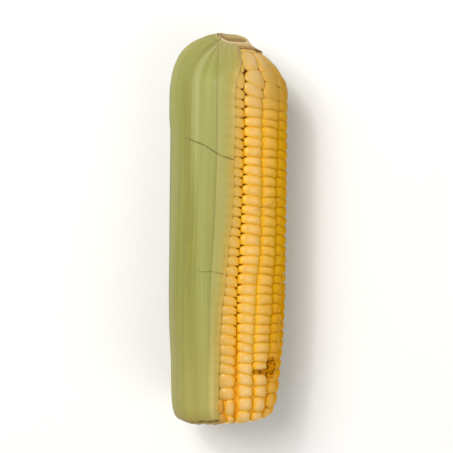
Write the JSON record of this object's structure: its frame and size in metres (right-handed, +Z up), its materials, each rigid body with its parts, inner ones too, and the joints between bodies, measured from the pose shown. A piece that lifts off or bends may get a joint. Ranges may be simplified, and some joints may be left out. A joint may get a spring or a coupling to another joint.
{
  "type": "corn cob",
  "caption": "Ear of sweet corn trimmed at both ends, part of its husk peeled back to show its rows of kernels.",
  "frame": {"origin": "middle of the underside's box, on the surface that the cob lies on", "axes": "+Y along the cob towards the butt, +X towards the side with the bare kernels, +Z up"},
  "size_m": [0.0538, 0.1748, 0.0553],
  "materials": {
    "kernels": "satin",
    "shank": "matte",
    "husk_inner": "satin",
    "husk_outer": "satin"
  },
  "bodies": {
    "root": {"ear": "kernels", "shank": "shank", "husk_leaf_1": "husk_inner", "husk_leaf_2": "husk_inner", "husk_leaf_3": "husk_inner", "husk_leaf_4": "husk_outer", "husk_leaf_5": "husk_outer"}
  },
  "joints": []
}
